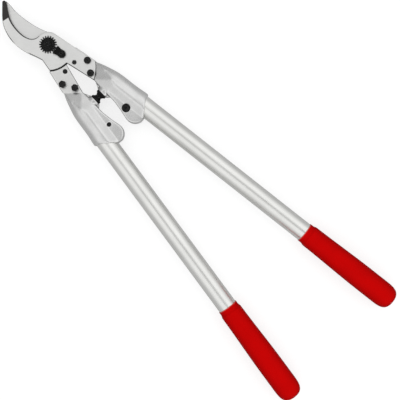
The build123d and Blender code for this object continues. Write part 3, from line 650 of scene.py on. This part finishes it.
def grip_outline(length, radius, bore):
    """The moulded sleeve's outline, from inside its bore round to its domed end."""
    outline = [(0, bore_length), (bore, bore_length), (bore, 0)]
    outline += [(collar_radius - edge_round, 0), (collar_radius, edge_round)]
    outline += [(collar_radius, collar_length)]
    outline += [(shoulder_radius - edge_round, shoulder_reach - edge_round)]
    outline += [(shoulder_radius - 0.2 * edge_round, shoulder_reach)]
    for step in range(1, 17):
        share = step / 16
        eased = share * share * (3 - 2 * share)
        reach = shoulder_reach + (round_reach - shoulder_reach) * share
        outline.append((shoulder_radius + (radius - shoulder_radius) * eased, reach))
    for step in range(33):
        angle = radians(90) * step / 32
        across, along = cos(angle) ** (2 / dome_power), sin(angle) ** (2 / dome_power)
        outline.append((radius * across, length - dome_length + dome_length * along))
    return outline[:-1] + [(0, length)]


def collar_mark(name, width, reach, height, placing):
    """A small raised bar with round ends, left by the mould on the grip's collar."""
    shape = bmesh.new()
    ring, steps = [], 24
    for step in range(steps):
        angle = 2 * pi * step / steps
        end = (reach - width) / 2 * (1 if cos(angle) > 0 else -1)
        ring.append((end + width / 2 * cos(angle), width / 2 * sin(angle)))
    levels = []
    for share, level in ((1.0, -height), (1.0, 0.4 * height), (0.85, 0.8 * height), (0.6, height)):
        levels.append([shape.verts.new((x * share, y * share, level)) for x, y in ring])
    for below, above in zip(levels, levels[1:]):
        for i in range(steps):
            j = (i + 1) % steps
            shape.faces.new((below[i], below[j], above[j], above[i]))
    shape.faces.new(levels[0][::-1])
    shape.faces.new(levels[-1])
    return finished_piece(name, shape, 50, placing)


mark_turn = radians(16)        # round from the front
grip_length = 138.2 * MM
for side, half in halves.items():
    end = mounts[f"{side}_grip_end"]
    heading = Vector(end["axis"])
    mouth = Vector(end["pos_m"]) - heading * (round_reach + end["dims"]["length_mm"] * MM / 2)
    outline = grip_outline(grip_length, end["dims"]["r_mm"] * MM, tube_radius + 0.05 * MM)
    grip = turned_piece(f"{side}_moulded_grip", outline, mouth, heading)
    sideways = Vector((-heading.y, heading.x, 0))
    outward = sideways * sin(mark_turn) + Vector((0, 0, cos(mark_turn)))
    turn = Matrix((heading, outward.cross(heading), outward)).transposed().to_4x4()
    foot = mouth + heading * 3.0 * MM + outward * collar_radius
    placing = Matrix.Translation(foot) @ turn
    mark = collar_mark(f"{side}_collar_mark", 1.3 * MM, 5.0 * MM, 0.5 * MM, placing)
    finish = red_vinyl(f"{side}_grip_vinyl", mouth, heading)
    for piece in (grip, mark):
        piece.data.materials.append(finish)
        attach(piece, half)
    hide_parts(f"{side}_grip")

# ======== Floor ========
# A plain pale sheet that the tool lies on. It looks white from above, and keeps the
# tool's soft shadow.


def background_glow(tree):
    """Extra white where the floor is looked at, and a little where metal reflects it."""
    rays = add(tree, "ShaderNodeLightPath").outputs
    mirrored = maths(tree, "MAXIMUM", rays["Is Glossy Ray"], rays["Is Transmission Ray"])
    faint = maths(tree, "MULTIPLY", mirrored, 0.24)
    return maths(tree, "MAXIMUM", maths(tree, "MULTIPLY", rays["Is Camera Ray"], 0.74), faint)


def white_floor():
    material = bpy.data.materials.new("white_floor")
    material.use_nodes = True
    tree = material.node_tree
    tree.nodes.clear()
    output = tree.nodes.new("ShaderNodeOutputMaterial")
    paint = add(tree, "ShaderNodeBsdfDiffuse", {"Color": (0.36, 0.36, 0.36, 1)})
    glow = add(tree, "ShaderNodeEmission", {"Strength": background_glow(tree)})
    both = add(tree, "ShaderNodeAddShader", {0: paint.outputs[0], 1: glow.outputs[0]})
    tree.links.new(both.outputs[0], output.inputs["Surface"])
    return material


floor_half = 4.0
corners = [(x * floor_half, y * floor_half, 0) for x, y in ((-1, -1), (1, -1), (1, 1), (-1, 1))]
floor_mesh = bpy.data.meshes.new("floor")
floor_mesh.from_pydata(corners, [], [(0, 1, 2, 3)])
floor = new_object("floor", floor_mesh)
floor.data.materials.append(white_floor())

# ======== Light ========
# A white studio tent, a little darker straight overhead and low down at the sides,
# with one large soft lamp beyond the grips.


def studio_tent():
    world = bpy.data.worlds.new("studio_tent")
    world.use_nodes = True
    tree = world.node_tree
    heading = add(tree, "ShaderNodeTexCoord").outputs["Generated"]
    axis = add(tree, "ShaderNodeSeparateXYZ", {0: heading}).outputs
    across = maths(tree, "ARCTAN2", maths(tree, "ABSOLUTE", axis["X"]), axis["Z"])
    dip = fade(tree, axis["Y"], 0.10, 0.23, 0.46, 0.92)
    overhead = fade(tree, across, radians(4), radians(16), dip, 1.08)
    low = fade(tree, across, radians(40), radians(88), 1.0, 0.55)
    side = fade(tree, axis["X"], -0.5, 0.5, 0.96, 1.05)
    beyond = fade(tree, axis["Y"], 0.38, 0.76, 1.0, 0.48)
    tent = maths(tree, "MULTIPLY", maths(tree, "MULTIPLY", overhead, low), side)
    tent = maths(tree, "MULTIPLY", tent, beyond)
    rays = add(tree, "ShaderNodeLightPath").outputs
    strength = fade(tree, rays["Is Camera Ray"], 0.0, 1.0, tent, 1.0)
    tree.links.new(strength, tree.nodes["Background"].inputs["Strength"])
    tree.nodes["Background"].inputs["Color"].default_value = (1, 1, 1, 1)
    return world


bpy.context.scene.world = studio_tent()

middle = Vector((0, 0, pivot.z))
lamp_side, lamp_watts = 1.2, 1.5
lamp_data = bpy.data.lights.new("key_lamp", "AREA")
lamp_data.shape = "RECTANGLE"
lamp_data.size = lamp_data.size_y = lamp_side
lamp_data.energy = lamp_watts
lamp = new_object("key_lamp", lamp_data)
lamp.location = middle + Vector((-0.6, -1.5, 1.0))
lamp.rotation_euler = (middle - lamp.location).to_track_quat("-Z", "Y").to_euler()

# ======== Camera ========
# Straight above, a little on the blades' side of the grips, with the tool lying
# across the picture from corner to corner.
camera_data = bpy.data.cameras.new("camera")
camera_data.lens = 72
camera_data.sensor_width = 36
camera = new_object("camera", camera_data)
camera.location = (1.2 * MM, pivot.y - 267.1 * MM, pivot.z + 988 * MM)
camera.rotation_euler = (0, 0, radians(-44.1))
bpy.context.scene.camera = camera

bpy.context.scene.view_settings.view_transform = "Standard"
